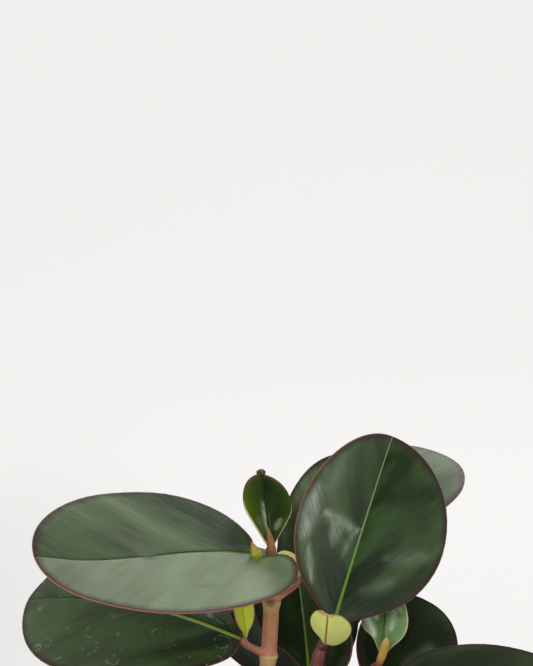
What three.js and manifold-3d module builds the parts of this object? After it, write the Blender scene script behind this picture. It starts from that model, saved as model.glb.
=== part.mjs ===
// A potted peperomia: thick oval leaves on jointed fleshy stems, in a plain clay pot.
// Millimetres, +Z up. The origin is the middle of the pot's underside.
// -Y is the side that the plant is seen from; the lowest leaves arch out over the pot's lip.

import * as THREE from "three";
import { mergeVertices } from "three/addons/utils/BufferGeometryUtils.js";
import Module from "manifold-3d";

// ---------------------------------------------------------------- driving dimensions

const GAP = 0.3; // clearance between neighbouring pieces

const POT_HEIGHT = 112;
const POT_TOP_RADIUS = 65; // outside, at the lip
const POT_FOOT_RADIUS = 46;
const POT_MOUTH_RADIUS = 57; // inside, at the lip
const POT_BOTTOM_RADIUS = 41.5; // inside, at the floor
const POT_FLOOR = 9; // thickness
const POT_ROUNDING = 2; // at the lip's two edges
const POT_CHAMFER = 1.5; // at the foot and under the band
const POT_BAND_HEIGHT = 24; // the thicker band under the lip
const POT_BAND_STEP = 3.5; // how far the band stands out from the wall below it
const POT_BAND_FLARE = 1; // how much wider the band is at the lip than at its foot
const POT_SIDES = 36;
const DRAIN_HOLES = 5;
const DRAIN_RADIUS = 4;
const DRAIN_CIRCLE = 27; // radius of the circle that the drain holes lie on
const DRAIN_SIDES = 12;

const SOIL_LEVEL = 101; // at the pot's wall
const SOIL_CROWN = 4; // how much higher the middle is
const SOIL_SHOULDER = [0.6, 0.75]; // shares of the radius and of the crown's height

const STEM_SIDES = 8;
const ROOTED_DEPTH = 24; // how far a stem stands in the soil
const ROOT_SHARE = 0.9; // a root end's distance from the axis over its lowest joint's
const HOLE_SPARE = 1; // how much deeper than the stem its hole in the soil is
const HOLE_CLEARANCE = 0.9; // round a stem in its hole
const RING_SWELL = 1.22; // a leaf joint's radius over the stem's
const RING_HEIGHT = 5;
const SHOOT_SHARE = 0.7; // the shoot's radius over the stem's
const STALK_SIDES = 6;
const STALK_RADIUS = 1.6;
const YOUNG_STALK_RADIUS = 0.9;
const LONGEST_YOUNG_LEAF = 35;
const STALK_BEND = 0.8; // radians, how far from below a stalk comes up to its blade
const STALK_EASE = 0.3; // share of a stalk's span over which it keeps each end's direction
const STALK_CLEARANCE = 1.8; // from a stalk's end to the blade's foot
const STALK_PROFILE = [[0, 0], [0, 1.3], [0.5, 1], [1, 1], [1, 0]]; // shares of length and radius
const BUD_PROFILE = [[0, 0], [0, 0.8], [0.5, 1], [0.8, 0.6], [1, 0]];

const BLADE_SPOKES = 18;
const BLADE_RINGS = [0.45, 0.8, 1]; // shares of the way from the middle of a blade to its rim
const GROWN_BLADE = { middle: 1.7, edge: 0.9 }; // thicknesses
const YOUNG_BLADE = { middle: 1.1, edge: 0.7 };
const NOTCH_WIDTH = 0.27; // radians round the middle, where the blade draws in to its foot
const CURL_REACH = 9; // how far from the midrib the curl dies away

const CLAY = { color: 0xb8694a, roughness: 0.85 };
const EARTH = { color: 0x3b2c22, roughness: 0.95 };
const STEM_SKIN = { color: 0x99664f, roughness: 0.5 };
const GROWN_SKIN = { color: 0x37432f, roughness: 0.4 };
const YOUNG_SKIN = { color: 0x8ea63c, roughness: 0.3 };

// Stems: the leaf joints' centres from the lowest to the highest, which the stem grows through,
// its radius, the thinner shoot that goes on from the last joint, and the rolled leaves and buds
// that stand on it.
const STEMS = {
  front: {
    radius: 3.2,
    joints: [[-13, -14, 122], [-11.5, -13, 146], [-9, -12, 170], [-7.8, -12, 192]],
    shoot: [[-7.4, -12, 202], [-7.6, -12, 210]],
    buds: [
      { from: [-8, -13.6, 206], to: [-9.8, -16.6, 225.2], radius: 1.9 },
      { from: [-7.6, -12.6, 206.5], to: [-15.4, -18.8, 219.4], radius: 2 },
    ],
  },
  middle: {
    radius: 2.7,
    joints: [[8, -19, 120], [8.4, -17, 142], [9, -15.5, 160], [11.6, -15, 174]],
    shoot: [],
    buds: [],
  },
  right: {
    radius: 2.8,
    joints: [[31, -9, 118], [32, -6, 138], [33.4, -4, 155], [34.8, -4, 164]],
    shoot: [],
    buds: [{ from: [34.6, -5.2, 162], to: [38.5, -8.2, 176.4], radius: 2.1 }],
  },
  inner: {
    radius: 3.1,
    joints: [[3, 25, 120], [7, 31, 140], [10, 36, 156]],
    shoot: [[11, 38, 163]],
    buds: [{ from: [10.6, 37, 160], to: [12, 42, 180], radius: 1.9 }],
  },
  back_right: {
    radius: 3.1,
    joints: [[31, 30, 120], [36, 40, 142], [41, 49, 163], [42.5, 51.5, 180]],
    shoot: [],
    buds: [{ from: [42.5, 51.5, 179], to: [38, 47, 197], radius: 1.9 }],
  },
  back_left: {
    radius: 3.2,
    joints: [[-32, 18, 120], [-36, 22, 142], [-40, 27, 163]],
    shoot: [[-41, 28, 172], [-41.5, 28.5, 177]],
    buds: [{ from: [-41.5, 28.4, 174], to: [-43, 30, 195], radius: 2 }],
  },
};

// Leaves. A leaf's foot is where its blade meets its stalk: a place, or a stalk's reach out from
// the joint and its rise. The heading is the compass angle that the leaf points to (0 is +X, 90 is
// +Y), the pitch how far it rises, and the roll how far its left side is lifted. Bend is how far
// the tip droops, fold how far the two halves are raised from flat, and twist how far the tip is
// turned from the foot. Lobes are how far the blade's two rounded corners, left and right, reach
// back past its foot, and taper makes it wider near the foot, or, below zero, near the tip. Full
// below 1 makes the outline squarer than an oval, notch is how wide the blade draws in to its foot,
// in radians, and curl how steeply the lobes past the foot curl up, as a rise over a leaf's length.
// Blunt makes the tip's half rounder. Uneven is how much wider the left half is than the mean, and
// skew how far forward it is shifted.
const LEAVES = [
  // the upper leaves
  { name: "leaf_front_1", stem: "front", joint: 3, foot: [-14.2, -17.2, 212.6], heading: 204.5, pitch: 5,
    roll: -27, length: 91.5, width: 69.5, bend: -2.3, fold: 6, lobes: [16.6, 3], twist: -3, taper: 0.1,
    full: 0.91, notch: 0.17, curl: 110, blunt: 0.025 },
  { name: "leaf_front_2", stem: "front", joint: 2, foot: [-19.9, -18, 178.7], heading: 169.6, pitch: 21.5,
    roll: -30.4, length: 97, width: 73, bend: 40.7, fold: -3, lobes: [1.3, -6], twist: -6, taper: -0.14,
    full: 1.15 },
  { name: "leaf_middle_1", stem: "middle", joint: 3, foot: [17.3, -9.1, 183.6], heading: 53.4, pitch: 61.6,
    roll: 51.7, length: 78.4, width: 69.4, bend: -10, fold: 19.5, lobes: [-3.4, -3.3], twist: 9.4,
    notch: 0.32 },
  { name: "leaf_middle_2", stem: "middle", joint: 1, foot: [16.6, -7, 157.5], heading: 60, pitch: 60,
    roll: 4, length: 22, width: 11.5, bend: 6, fold: 8, lobes: [-3, -3] },
  { name: "leaf_inner_1", stem: "inner", joint: 2, foot: [14, 42.5, 160], heading: 69, pitch: 71,
    roll: -22, length: 81, width: 61, bend: 4, fold: 5, lobes: [3, 3], taper: -0.04, full: 0.9 },
  { name: "leaf_inner_2", stem: "inner", joint: 1, foot: [7.6, 14, 154], heading: 99, pitch: 60,
    roll: 11, length: 53, width: 48, bend: 10, fold: 14, lobes: [-7, 3] },
  { name: "leaf_back_right_1", stem: "back_right", joint: 3, foot: [44.3, 52.6, 195], heading: 81.5,
    pitch: 35.7, roll: -13, length: 76.7, width: 57.2, bend: 19.3, fold: 4.3, lobes: [3, -10], twist: 17,
    taper: -0.17, full: 1.2 },
  { name: "leaf_right_1", stem: "right", joint: 1, foot: [38.5, 3, 149.5], heading: 62, pitch: 32,
    roll: 31, length: 54, width: 43, bend: 6, fold: 5, lobes: [2, 3] },
  { name: "leaf_right_2", stem: "right", joint: 2, foot: [42.8, -3, 158.3], heading: 338, pitch: -3,
    roll: 20, length: 90, width: 60, bend: 12, fold: 6, lobes: [1, 4] },
  { name: "leaf_back_left_1", stem: "back_left", joint: 2, foot: [-46, 34, 176], heading: 138, pitch: 24,
    roll: -8, length: 82, width: 58, bend: 22, fold: 8, lobes: [3, 3] },
  { name: "leaf_back_left_2", stem: "back_left", joint: 2, foot: [-36, 35, 171], heading: 88, pitch: 14,
    roll: -4, length: 84, width: 58, bend: 16, fold: 8, lobes: [3, 3] },

  // the middle tier
  { name: "leaf_front_3", stem: "front", joint: 1, stalk: [14, 3], heading: 256, pitch: 0,
    roll: 4, length: 94, width: 63, bend: 26, fold: 7, lobes: [4, 4] },
  { name: "leaf_front_4", stem: "front", joint: 1, stalk: [15, 9], heading: 204, pitch: 6,
    roll: -8, length: 92, width: 62, bend: 24, fold: 6, lobes: [4, 4] },
  { name: "leaf_middle_3", stem: "middle", joint: 1, stalk: [15, 4], heading: 302, pitch: 3,
    roll: 6, length: 95, width: 64, bend: 26, fold: 7, lobes: [4, 4] },
  { name: "leaf_right_3", stem: "right", joint: 1, stalk: [14, 3], heading: 8, pitch: 4,
    roll: -6, length: 88, width: 60, bend: 26, fold: 7, lobes: [4, 4] },
  { name: "leaf_back_right_2", stem: "back_right", joint: 1, stalk: [14, -3], heading: 34, pitch: -4,
    roll: 4, length: 84, width: 58, bend: 26, fold: 7, lobes: [4, 4] },
  { name: "leaf_back_right_3", stem: "back_right", joint: 1, stalk: [14, 4], heading: 62, pitch: 1,
    roll: 6, length: 80, width: 52, bend: 28, fold: 7, lobes: [4, 4] },
  { name: "leaf_inner_3", stem: "inner", joint: 1, stalk: [15, 1], heading: 134, pitch: 38,
    roll: 14, length: 63, width: 60, bend: 24, fold: 7, lobes: [4, 4] },
  { name: "leaf_back_left_3", stem: "back_left", joint: 1, stalk: [14, 4], heading: 178, pitch: 4,
    roll: 6, length: 88, width: 60, bend: 26, fold: 7, lobes: [4, 4] },
];

// The lowest leaves, a ring that arches out over the pot's lip: [stem, heading, length, width].
const LOW_LEAVES = [
  ["right", 333, 84, 56], ["right", 31, 81, 54], ["back_right", 72, 78, 56], ["inner", 110, 84, 54],
  ["back_left", 144, 81, 56], ["back_left", 203, 78, 54], ["front", 236, 84, 56], ["middle", 284, 81, 54],
];
const LOW_LEAF = { joint: 0, stalk: [15, 3], pitch: 8, roll: 5, bend: 40, fold: 7, lobes: [4, 4] };

const YOUNG_LEAVES = [
  { name: "young_front_1", stem: "front", joint: 3, foot: [-8.2, -11.4, 214.2], heading: 101.3, pitch: 53.4,
    roll: 14.9, length: 32.2, width: 21.8, bend: 0, fold: 14, lobes: [-7, -7], taper: -0.18, full: 1.25,
    notch: 0.8 },
  { name: "young_front_2", stem: "front", joint: 2, foot: [-17.9, -12, 176.6], heading: 118, pitch: 72,
    roll: 0, length: 24, width: 9.8, bend: -6, fold: 24, lobes: [-3, -3], full: 1.15 },
  { name: "young_front_3", stem: "front", joint: 3, foot: [4, -9, 202], heading: 168, pitch: 42,
    roll: -10, length: 13, width: 12, bend: 0, fold: 20, lobes: [-2, -2] },
  { name: "young_middle_1", stem: "middle", joint: 3, foot: [13.4, -20.5, 177.9], heading: 273, pitch: 54.5,
    roll: -10, length: 17, width: 17.2, bend: -18, fold: 17.4, lobes: [2, -1.9], taper: -0.04,
    uneven: 0.18, skew: -0.22 },
  { name: "young_right_1", stem: "right", joint: 3, foot: [36.9, -3.8, 167.5], heading: 77.6, pitch: 62.4,
    roll: 7.6, length: 26.8, width: 19.4, bend: 0, fold: 10, lobes: [-6.9, -3.4], notch: 0.33 },
  { name: "young_inner_1", stem: "inner", joint: 2, foot: [6, 43, 170], heading: 160, pitch: 52,
    roll: 0, length: 24, width: 16, bend: 6, fold: 14, lobes: [-3, -3] },
  { name: "young_back_right_1", stem: "back_right", joint: 3, foot: [48, 46, 187], heading: 305, pitch: 54,
    roll: 0, length: 26, width: 17, bend: 6, fold: 14, lobes: [-3, -3] },
  { name: "young_back_left_1", stem: "back_left", joint: 2, foot: [-37, 31, 180], heading: 20, pitch: 64,
    roll: 0, length: 28, width: 18, bend: 6, fold: 14, lobes: [-4, -4] },
  { name: "young_back_left_2", stem: "back_left", joint: 2, foot: [-47, 27, 178], heading: 215, pitch: 50,
    roll: 0, length: 24, width: 16, bend: 8, fold: 14, lobes: [-3, -3] },
];

// ---------------------------------------------------------------- solids

const lowLeaves = LOW_LEAVES.map(([stem, heading, length, width], place) => (
  { ...LOW_LEAF, name: `leaf_low_${place + 1}`, stem, heading, length, width }
));
const grownLeaves = [...LEAVES, ...lowLeaves];
const allLeaves = [...grownLeaves, ...YOUNG_LEAVES];

const wasm = await Module();
wasm.setup();

const radians = THREE.MathUtils.degToRad;
const UPRIGHT = new THREE.Vector3(0, 0, 1);

function toSolid(geometry) {
  const bare = geometry.clone();
  bare.deleteAttribute("normal");
  bare.deleteAttribute("uv");
  const merged = mergeVertices(bare, 1e-4);
  return new wasm.Manifold(new wasm.Mesh({
    numProp: 3,
    vertProperties: Float32Array.from(merged.attributes.position.array),
    triVerts: Uint32Array.from(merged.index.array),
  }));
}

function toGeometry(solid) {
  const mesh = solid.getMesh();
  const geometry = new THREE.BufferGeometry();
  geometry.setAttribute("position", new THREE.BufferAttribute(mesh.vertProperties, 3));
  geometry.setIndex(new THREE.BufferAttribute(mesh.triVerts, 1));
  geometry.computeVertexNormals();
  return geometry;
}

function joined(geometries) {
  return geometries.map(toSolid).reduce((whole, piece) => whole.add(piece));
}

// A round body that follows a path, from [share of the path's length, radius] pairs.
function grownAlong(path, profile, sides) {
  const points = profile.map(([share, radius]) => new THREE.Vector2(radius, share));
  const geometry = new THREE.LatheGeometry(points, sides);
  const { position } = geometry.attributes;
  const turn = new THREE.Quaternion();
  const corner = new THREE.Vector3();
  for (let i = 0; i < position.count; i += 1) {
    const share = position.getY(i);
    turn.setFromUnitVectors(UPRIGHT, path.getTangentAt(share));
    corner.set(position.getZ(i), position.getX(i), 0).applyQuaternion(turn);
    corner.add(path.getPointAt(share));
    position.setXYZ(i, corner.x, corner.y, corner.z);
  }
  return geometry;
}

// A body of revolution from [radius, height] pairs, turned to stand along a direction at a place.
function turned(profile, sides, place, direction) {
  const points = profile.map(([radius, height]) => new THREE.Vector2(radius, height));
  const geometry = new THREE.LatheGeometry(points, sides);
  const up = new THREE.Vector3(0, 1, 0);
  geometry.applyQuaternion(new THREE.Quaternion().setFromUnitVectors(up, direction));
  geometry.translate(place.x, place.y, place.z);
  return geometry;
}

// ---------------------------------------------------------------- pot and soil

const AXIS_FOOT = new THREE.Vector3(0, 0, 0);

function outerRadius(height) {
  const underBand = POT_TOP_RADIUS - POT_BAND_FLARE - POT_BAND_STEP;
  return POT_FOOT_RADIUS + ((underBand - POT_FOOT_RADIUS) * height) / (POT_HEIGHT - POT_BAND_HEIGHT);
}

function innerRadius(height) {
  const share = (height - POT_FLOOR) / (POT_HEIGHT - POT_FLOOR);
  return POT_BOTTOM_RADIUS + (POT_MOUTH_RADIUS - POT_BOTTOM_RADIUS) * share;
}

function potSolid() {
  const bandFoot = POT_HEIGHT - POT_BAND_HEIGHT;
  const profile = [
    [0, 0],
    [POT_FOOT_RADIUS - POT_CHAMFER, 0],
    [POT_FOOT_RADIUS, POT_CHAMFER],
    [outerRadius(bandFoot), bandFoot],
    [outerRadius(bandFoot) + POT_BAND_STEP, bandFoot + POT_CHAMFER],
    [POT_TOP_RADIUS, POT_HEIGHT - POT_ROUNDING],
    [POT_TOP_RADIUS - POT_ROUNDING, POT_HEIGHT],
    [POT_MOUTH_RADIUS + POT_ROUNDING, POT_HEIGHT],
    [POT_MOUTH_RADIUS, POT_HEIGHT - POT_ROUNDING],
    [innerRadius(POT_FLOOR), POT_FLOOR],
    [0, POT_FLOOR],
  ];
  let pot = toSolid(turned(profile, POT_SIDES, AXIS_FOOT, UPRIGHT));
  for (let i = 0; i < DRAIN_HOLES; i += 1) {
    const angle = (2 * Math.PI * i) / DRAIN_HOLES;
    const place = new THREE.Vector3(Math.cos(angle), Math.sin(angle), 0).multiplyScalar(DRAIN_CIRCLE);
    const hole = [[0, -1], [DRAIN_RADIUS, -1], [DRAIN_RADIUS, POT_FLOOR + 1], [0, POT_FLOOR + 1]];
    pot = pot.subtract(toSolid(turned(hole, DRAIN_SIDES, place, UPRIGHT)));
  }
  return pot;
}

function soilSolid(stemHoles) {
  const bottom = POT_FLOOR + GAP;
  const [shoulderOut, shoulderRise] = SOIL_SHOULDER;
  const profile = [
    [0, bottom],
    [innerRadius(bottom) - GAP, bottom],
    [innerRadius(SOIL_LEVEL) - GAP, SOIL_LEVEL],
    [innerRadius(SOIL_LEVEL) * shoulderOut, SOIL_LEVEL + SOIL_CROWN * shoulderRise],
    [0, SOIL_LEVEL + SOIL_CROWN],
  ];
  return stemHoles.reduce((soil, hole) => soil.subtract(toSolid(hole)),
    toSolid(turned(profile, POT_SIDES, AXIS_FOOT, UPRIGHT)));
}

// ---------------------------------------------------------------- blades

// The flat outline: how far along the midrib and how far to the left the rim lies at an angle
// round the blade's middle, 0 at the tip and 180 degrees at the foot.
function rimPoint(leaf, angle) {
  const half = leaf.length / 2;
  const side = Math.sin(angle);
  const toTip = Math.cos(angle);
  const fullness = Math.sign(side) * Math.abs(side) ** (leaf.full ?? 1);
  const unevenness = 1 + Math.sign(side) * (leaf.uneven ?? 0);
  const across = (leaf.width / 2) * fullness * (1 - (leaf.taper ?? 0) * toTip) * unevenness;
  const skewed = half + (leaf.skew ?? 0) * across;
  if (toTip >= 0) {
    const fuller = (leaf.blunt ?? 0) * Math.sin(Math.PI * toTip);
    return [skewed + half * (toTip + fuller), across];
  }
  const lobe = side > 0 ? leaf.lobes[0] : leaf.lobes[1];
  const fromFoot = (angle - Math.PI) / (leaf.notch ?? NOTCH_WIDTH);
  const notch = Math.exp(-fromFoot * fromFoot);
  return [skewed + (half + lobe * (1 - notch)) * toTip, across];
}

// The middle surface in the leaf's own frame: x along the midrib, y to the left, z to the face.
function surfacePoint(leaf, along, across) {
  const share = along / leaf.length;
  const turn = radians(leaf.bend) / leaf.length;
  const lean = turn * along;
  const midribX = turn ? Math.sin(lean) / turn : along;
  const midribZ = turn ? (Math.cos(lean) - 1) / turn : 0;
  const raise = radians(leaf.fold);
  const twist = radians((leaf.twist ?? 0) * share);
  const side = across * Math.cos(raise);
  const curled = (leaf.curl ?? 0) * Math.max(-share, 0) * Math.exp(-((across / CURL_REACH) ** 2));
  const lift = Math.abs(across) * Math.sin(raise) + curled;
  const y = side * Math.cos(twist) - lift * Math.sin(twist);
  const up = side * Math.sin(twist) + lift * Math.cos(twist);
  return new THREE.Vector3(midribX + up * Math.sin(lean), y, midribZ + up * Math.cos(lean));
}

function faceDirection(leaf, along, across) {
  const step = 0.5;
  const forward = surfacePoint(leaf, along + step, across).sub(surfacePoint(leaf, along - step, across));
  const left = surfacePoint(leaf, along, across + step).sub(surfacePoint(leaf, along, across - step));
  return forward.cross(left).normalize();
}

function bladeGeometry(leaf, { middle, edge }) {
  const grid = [[leaf.length / 2, 0, middle]];
  for (const ring of BLADE_RINGS) {
    for (let i = 0; i < BLADE_SPOKES; i += 1) {
      const [along, across] = rimPoint(leaf, (2 * Math.PI * i) / BLADE_SPOKES);
      const thickness = middle + (edge - middle) * ring * ring;
      grid.push([leaf.length / 2 + (along - leaf.length / 2) * ring, across * ring, thickness]);
    }
  }
  const positions = [];
  for (const face of [0.5, -0.5]) {
    for (const [along, across, thickness] of grid) {
      const point = surfacePoint(leaf, along, across);
      point.addScaledVector(faceDirection(leaf, along, across), face * thickness);
      positions.push(point.x, point.y, point.z);
    }
  }
  const index = [];
  const under = grid.length;
  const both = (a, b, c) => index.push(a, b, c, under + a, under + c, under + b);
  for (let i = 0; i < BLADE_SPOKES; i += 1) {
    const next = (i + 1) % BLADE_SPOKES;
    both(0, 1 + i, 1 + next);
    for (let ring = 1; ring < BLADE_RINGS.length; ring += 1) {
      const inner = 1 + (ring - 1) * BLADE_SPOKES;
      const outer = inner + BLADE_SPOKES;
      both(inner + i, outer + i, outer + next);
      both(inner + i, outer + next, inner + next);
    }
    const rim = 1 + (BLADE_RINGS.length - 1) * BLADE_SPOKES;
    index.push(rim + i, under + rim + i, under + rim + next);
    index.push(rim + i, under + rim + next, rim + next);
  }
  const geometry = new THREE.BufferGeometry();
  geometry.setAttribute("position", new THREE.Float32BufferAttribute(positions, 3));
  geometry.setIndex(index);
  geometry.computeVertexNormals();
  return geometry;
}

// Where a blade begins: given outright, or by its stalk's reach and rise from the joint.
function leafFoot(leaf) {
  if (leaf.foot) {
    return new THREE.Vector3(...leaf.foot);
  }
  const [reach, rise] = leaf.stalk;
  const angle = radians(leaf.heading);
  const out = new THREE.Vector3(Math.cos(angle) * reach, Math.sin(angle) * reach, rise);
  return new THREE.Vector3(...STEMS[leaf.stem].joints[leaf.joint]).add(out);
}

function leafTurn(leaf) {
  return new THREE.Euler(radians(leaf.roll), radians(-leaf.pitch), radians(leaf.heading), "ZYX");
}

// ---------------------------------------------------------------- stems

// The path from the stem's end in the soil, or from a point below it, up to its top.
function stemPath(stem, depth) {
  const joints = stem.joints.map((joint) => new THREE.Vector3(...joint));
  const [lowest] = joints;
  const rooted = new THREE.Vector3(lowest.x * ROOT_SHARE, lowest.y * ROOT_SHARE, SOIL_LEVEL - depth);
  const shoot = stem.shoot.map((point) => new THREE.Vector3(...point));
  return new THREE.CatmullRomCurve3([rooted, ...joints, ...shoot]);
}

// The share of a path's length at which it is at a given height.
function shareAtHeight(path, height) {
  let low = 0;
  let high = 1;
  for (let i = 0; i < 30; i += 1) {
    const middle = (low + high) / 2;
    if (path.getPointAt(middle).z < height) {
      low = middle;
    } else {
      high = middle;
    }
  }
  return low;
}

// Swollen a little at each joint, and thinner above the last one.
function stemProfile(stem, path) {
  const half = RING_HEIGHT / 2 / path.getLength();
  const profile = [[0, 0], [0, stem.radius]];
  stem.joints.forEach((joint, place) => {
    const share = shareAtHeight(path, joint[2]);
    const last = place === stem.joints.length - 1;
    const above = last ? stem.radius * SHOOT_SHARE : stem.radius;
    profile.push([share - half, stem.radius], [share, stem.radius * RING_SWELL]);
    profile.push([Math.min(share + half, 1), above]);
  });
  if (stem.shoot.length) {
    profile.push([1, stem.radius * SHOOT_SHARE]);
  }
  profile.push([1, 0]);
  return profile;
}

function stalkPath(stem, leaf) {
  const start = new THREE.Vector3(...stem.joints[leaf.joint]);
  const end = leafFoot(leaf);
  const arrival = new THREE.Vector3(Math.cos(STALK_BEND), 0, Math.sin(STALK_BEND));
  arrival.applyEuler(leafTurn(leaf));
  const span = start.distanceTo(end);
  const out = end.clone().sub(start).normalize();
  return new THREE.CubicBezierCurve3(
    start,
    start.clone().addScaledVector(out, span * STALK_EASE),
    end.clone().addScaledVector(arrival, -span * STALK_EASE),
    end.clone().addScaledVector(arrival, -STALK_CLEARANCE),
  );
}

// A profile given in shares of the radius, made as thick as the radius.
function thickened(profile, radius) {
  return profile.map(([share, thickness]) => [share, thickness * radius]);
}

function budGeometry(bud) {
  const path = new THREE.LineCurve3(new THREE.Vector3(...bud.from), new THREE.Vector3(...bud.to));
  return grownAlong(path, thickened(BUD_PROFILE, bud.radius), STALK_SIDES);
}

function stemSolid(name, stem) {
  const path = stemPath(stem, ROOTED_DEPTH);
  const pieces = [grownAlong(path, stemProfile(stem, path), STEM_SIDES)];
  for (const leaf of allLeaves.filter((one) => one.stem === name)) {
    const radius = leaf.length > LONGEST_YOUNG_LEAF ? STALK_RADIUS : YOUNG_STALK_RADIUS;
    pieces.push(grownAlong(stalkPath(stem, leaf), thickened(STALK_PROFILE, radius), STALK_SIDES));
  }
  pieces.push(...stem.buds.map(budGeometry));
  return joined(pieces);
}

// ---------------------------------------------------------------- the whole plant

const plant = new THREE.Group();

function addPiece(name, geometry, skin) {
  const material = new THREE.MeshStandardMaterial({ ...skin, metalness: 0 });
  const mesh = new THREE.Mesh(geometry, material);
  mesh.name = name;
  plant.add(mesh);
  return mesh;
}

addPiece("pot", toGeometry(potSolid()), CLAY);

const holes = Object.values(STEMS).map((stem) => {
  const path = stemPath(stem, ROOTED_DEPTH + HOLE_SPARE);
  const radius = stem.radius + HOLE_CLEARANCE;
  const top = shareAtHeight(path, SOIL_LEVEL + 2 * SOIL_CROWN);
  return grownAlong(path, [[0, 0], [0, radius], [top, radius], [top, 0]], STEM_SIDES);
});
addPiece("soil", toGeometry(soilSolid(holes)), EARTH);

for (const [name, stem] of Object.entries(STEMS)) {
  addPiece(`stem_${name}`, toGeometry(stemSolid(name, stem)), STEM_SKIN);
}

function addLeaf(leaf, blade, skin) {
  const mesh = addPiece(leaf.name, bladeGeometry(leaf, blade), skin);
  mesh.rotation.copy(leafTurn(leaf));
  mesh.position.copy(leafFoot(leaf));
}

for (const leaf of grownLeaves) {
  addLeaf(leaf, GROWN_BLADE, GROWN_SKIN);
}
for (const leaf of YOUNG_LEAVES) {
  addLeaf(leaf, YOUNG_BLADE, YOUNG_SKIN);
}

export default plant;
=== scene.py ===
# %% [markdown]
# # A potted peperomia
# A house plant with thick oval leaves on jointed, fleshy stems, in a clay pot. The imported model
# gives the frame: every solid at its real size and place. Here each solid gets a finer piece that
# keeps its form, and a finish. The frame is loaded first.

# %% The frame
import math
import random
from dataclasses import dataclass, replace

import bmesh
import bpy
from mathutils import Euler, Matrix, Quaternion, Vector, geometry, noise


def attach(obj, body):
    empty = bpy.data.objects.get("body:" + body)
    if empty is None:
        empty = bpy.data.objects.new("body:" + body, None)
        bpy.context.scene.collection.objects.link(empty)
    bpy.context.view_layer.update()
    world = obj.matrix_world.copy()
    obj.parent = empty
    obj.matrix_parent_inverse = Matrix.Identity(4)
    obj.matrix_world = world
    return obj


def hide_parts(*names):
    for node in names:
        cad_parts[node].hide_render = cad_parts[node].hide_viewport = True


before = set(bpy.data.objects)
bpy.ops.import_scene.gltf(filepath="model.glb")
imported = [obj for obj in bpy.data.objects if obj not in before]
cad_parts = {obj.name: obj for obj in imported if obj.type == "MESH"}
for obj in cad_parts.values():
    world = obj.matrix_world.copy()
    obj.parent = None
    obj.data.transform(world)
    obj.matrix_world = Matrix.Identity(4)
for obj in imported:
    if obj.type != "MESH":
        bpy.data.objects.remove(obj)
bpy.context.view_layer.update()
MM = 0.001
print("nodes in the frame:", len(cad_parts))

# %% [markdown]
# The camera stands 73 cm before the plant, a little above it, and looks 8 degrees down, so that
# the plant fills the lower third of an upright picture. It is made first, because everything else
# is judged through it. A long lens keeps the leaves from looking stretched.

# %% The camera
CAMERA_PLACE = Vector((-9.8, -726.8, 400.9)) * MM
CAMERA_TILT = math.radians(8)
CAMERA_LENS = 100
CAMERA_SENSOR = 36

camera_data = bpy.data.cameras.new("camera")
camera_data.lens = CAMERA_LENS
camera_data.sensor_width = CAMERA_SENSOR
camera_data.clip_start = 0.05
camera = bpy.data.objects.new("camera", camera_data)
camera.location = CAMERA_PLACE
camera.rotation_euler = (math.pi / 2 - CAMERA_TILT, 0, 0)
bpy.context.scene.collection.objects.link(camera)
bpy.context.scene.camera = camera
bpy.context.scene.view_settings.view_transform = "Standard"
print("camera at", tuple(round(x, 3) for x in camera.location))

# %% [markdown]
# Finishes are node trees, and a few helpers keep them short. `srgb` turns a screen colour into a
# shader's, `finished_object` makes an object of a mesh. `add` makes a node and fills its
# sockets: a value is set, a socket is wired. `spread` turns a range of a number into 0 to 1 with
# soft ends, which is how a band near a leaf's rim or a line along its midrib is drawn. `mixed`
# lays one colour over another. `line_of` and `spun` draw a section and turn it into a round body.

# %% Helpers for finishes and round bodies
def srgb(red, green, blue):
    """A screen colour, 0 to 255, as the linear colour that a shader takes."""
    values = [channel / 255 for channel in (red, green, blue)]
    return tuple(v / 12.92 if v <= 0.04045 else ((v + 0.055) / 1.055) ** 2.4 for v in values) + (1,)


def finished_object(bm, name, material, smooth=True, unit=1):
    """Turns a bmesh, drawn in a unit of so many metres, into an object with one material."""
    bmesh.ops.scale(bm, vec=(unit, unit, unit), verts=bm.verts[:])
    mesh = bpy.data.meshes.new(name)
    bm.to_mesh(mesh)
    bm.free()
    mesh.shade_smooth() if smooth else mesh.shade_flat()
    mesh.materials.append(material)
    piece = bpy.data.objects.new(name, mesh)
    bpy.context.scene.collection.objects.link(piece)
    return piece


def line_of(bm, points):
    """New corners, joined by edges in the order given."""
    corners = [bm.verts.new(point) for point in points]
    edges = [bm.edges.new(pair) for pair in zip(corners, corners[1:])]
    return corners, edges


def spun(bm, line, steps, weld):
    """Spins a line once round the upright axis, welds what meets, and gives the body's corners."""
    known = set(bm.verts).difference(line)
    bmesh.ops.spin(bm, geom=line, axis=(0, 0, 1), cent=(0, 0, 0), angle=math.tau, steps=steps,
                   use_merge=True)
    body = [vert for vert in bm.verts if vert not in known]
    bmesh.ops.remove_doubles(bm, verts=body, dist=weld)
    return [vert for vert in bm.verts if vert not in known]


def new_material(name):
    """A material with nodes, its node tree and its main shader."""
    material = bpy.data.materials.new(name)
    material.use_nodes = True
    return material, material.node_tree, material.node_tree.nodes["Principled BSDF"]


def add(tree, kind, sockets=None, **settings):
    node = tree.nodes.new(kind)
    for key, value in settings.items():
        setattr(node, key, value)
    for key, value in (sockets or {}).items():
        if isinstance(value, bpy.types.NodeSocket):
            tree.links.new(value, node.inputs[key])
        else:
            node.inputs[key].default_value = value
    return node


def attribute(tree, name, output="Fac"):
    return add(tree, "ShaderNodeAttribute", attribute_name=name).outputs[output]


def spread(tree, value, low, high, to_low=0.0, to_high=1.0):
    node = add(tree, "ShaderNodeMapRange", {"Value": value, "From Min": low, "From Max": high,
                                            "To Min": to_low, "To Max": to_high},
               interpolation_type="SMOOTHSTEP")
    return node.outputs["Result"]


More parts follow.
